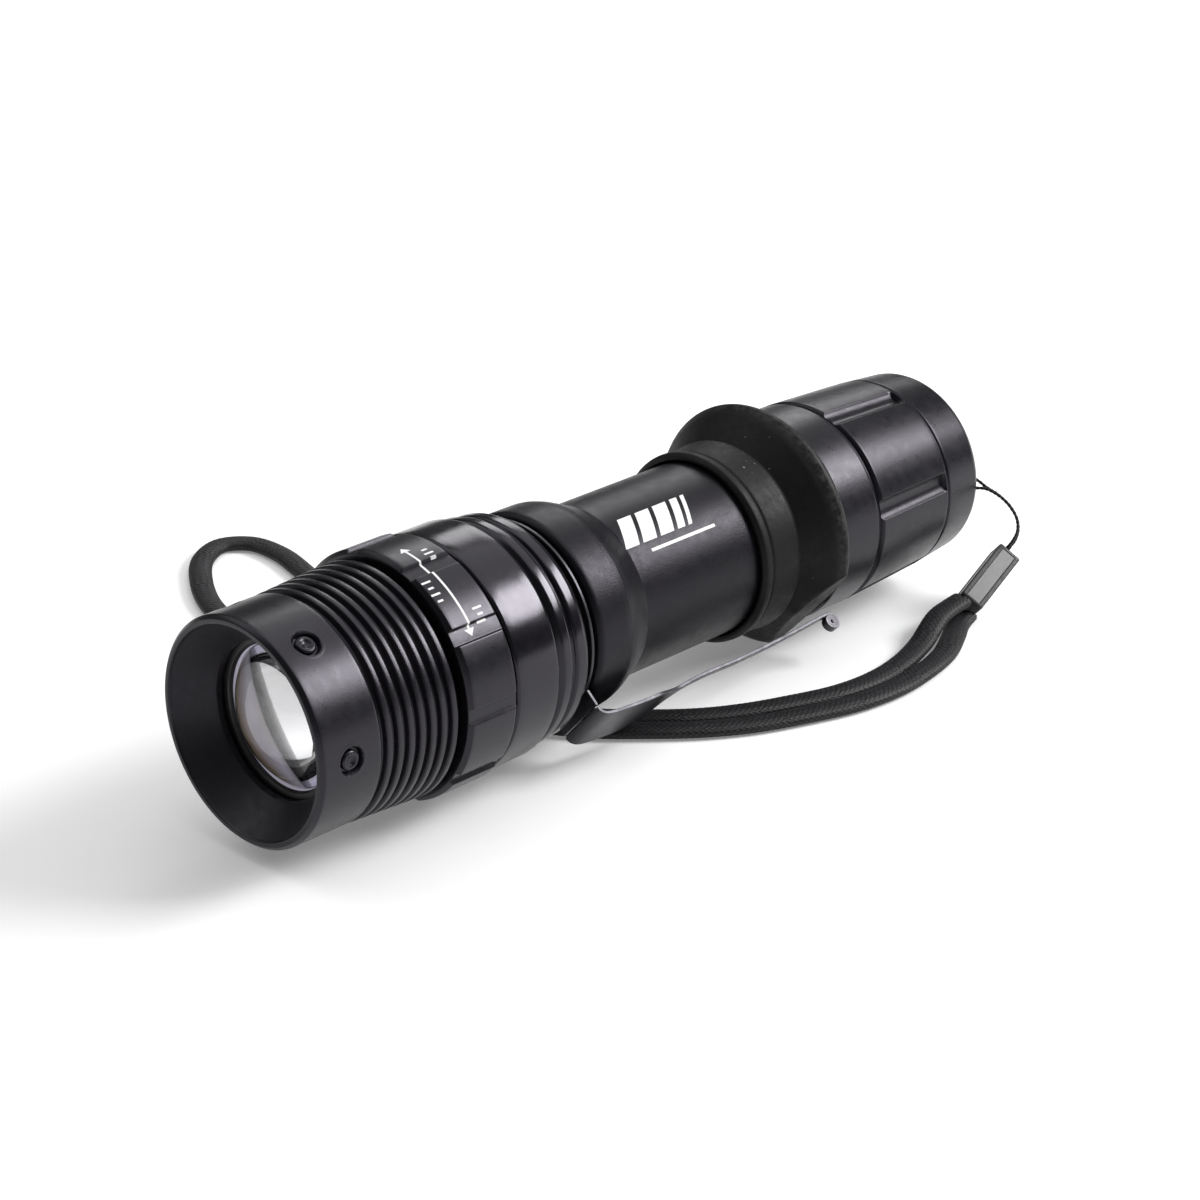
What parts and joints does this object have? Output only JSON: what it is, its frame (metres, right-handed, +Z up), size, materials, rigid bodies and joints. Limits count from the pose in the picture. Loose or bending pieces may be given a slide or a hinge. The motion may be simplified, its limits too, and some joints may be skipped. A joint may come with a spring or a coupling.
{
  "type": "tactical flashlight",
  "caption": "Focusing tactical flashlight with a sliding ribbed bezel, grooved zoom ring, rubber grip ring, pocket clip, tail switch and wrist lanyard, lying on its side.",
  "frame": {"origin": "on the ground under the middle of the flashlight's length, below its axis", "axes": "+Z up, the optical axis along Y with the beam towards -Y and the tail at +Y, +X towards the side of the pocket clip"},
  "size_m": [0.1109, 0.1335, 0.0358],
  "materials": {
    "black_anodised": "satin black anodised",
    "gloss_anodised": "glossy black anodised",
    "lens_glass": "clear polished aspheric lens",
    "seal_rubber": "black sealing rubber",
    "brass": "turned brass",
    "bare_aluminium": "bare",
    "led_phosphor": "phosphor under silicone",
    "circuit_board": "green solder mask",
    "black_steel": "blackened spring steel",
    "spring_steel": "bright spring wire",
    "grip_rubber": "matt black rubber",
    "sleeve_plastic": "off-white plastic",
    "cell_wrap": "shrink wrap",
    "switch_plastic": "moulded black",
    "black_nylon": "braided nylon",
    "crimp_plastic": "dark grey crimp"
  },
  "bodies": {
    "body": {"barrel": "black_anodised", "neck_o_ring": "seal_rubber", "tail_o_ring": "seal_rubber", "clip_collar": "black_steel", "grip_ring": "grip_rubber", "battery_sleeve": "sleeve_plastic", "battery_cell": "cell_wrap", "head_base": "gloss_anodised", "sleeve_o_ring": "seal_rubber", "led_pill": "brass", "led_board": "bare_aluminium", "led_emitter": "led_phosphor", "driver_board": "circuit_board", "driver_spring": "brass"},
    "bezel": {"bezel": "black_anodised", "lens": "lens_glass", "lens_gasket": "seal_rubber", "lens_retainer": "gloss_anodised", "bezel_pin_1": "black_anodised", "bezel_pin_2": "black_anodised", "bezel_pin_3": "black_anodised", "bezel_pin_4": "black_anodised", "bezel_pin_5": "black_anodised", "bezel_pin_6": "black_anodised"},
    "zoom_ring": {"zoom_ring": "black_anodised"},
    "clip_arm": {"clip_arm": "black_steel"},
    "tail": {"tail_cap": "black_anodised", "tail_spring": "spring_steel", "switch_board": "circuit_board", "switch_retainer": "brass", "switch_body": "switch_plastic", "lanyard_thread": "black_nylon", "crimp_bead": "crimp_plastic", "wrist_strap": "black_nylon"},
    "button": {"switch_boot": "grip_rubber", "switch_plunger": "sleeve_plastic"}
  },
  "joints": [
    {"name": "zoom_turn", "type": "hinge", "parent": "body", "child": "zoom_ring", "pos_m": [0, -0.0375, 0.0179], "axis": [0, 1, 0], "range_deg": [0, 90]},
    {"name": "bezel_slide", "type": "slide", "parent": "body", "child": "bezel", "axis": [0, -1, 0], "range_m": [0, 0.006]},
    {"name": "tail_unscrew", "type": "slide", "parent": "body", "child": "tail", "axis": [0, 1, 0], "range_m": [0, 0.009]},
    {"name": "button_press", "type": "slide", "parent": "tail", "child": "button", "axis": [0, -1, 0], "range_m": [0, 0.0018], "stiffness_N_per_m": 800},
    {"name": "clip_flex", "type": "hinge", "parent": "body", "child": "clip_arm", "pos_m": [0.0122, -0.0169, 0.0069], "axis": [-0.6691, 0, -0.7431], "range_deg": [-1.2, 3], "stiffness_Nm_per_rad": 0.8}
  ],
  "couplings": [
    {"joint": "zoom_turn", "follows": "bezel_slide", "rad_per_m": 261.7}
  ]
}
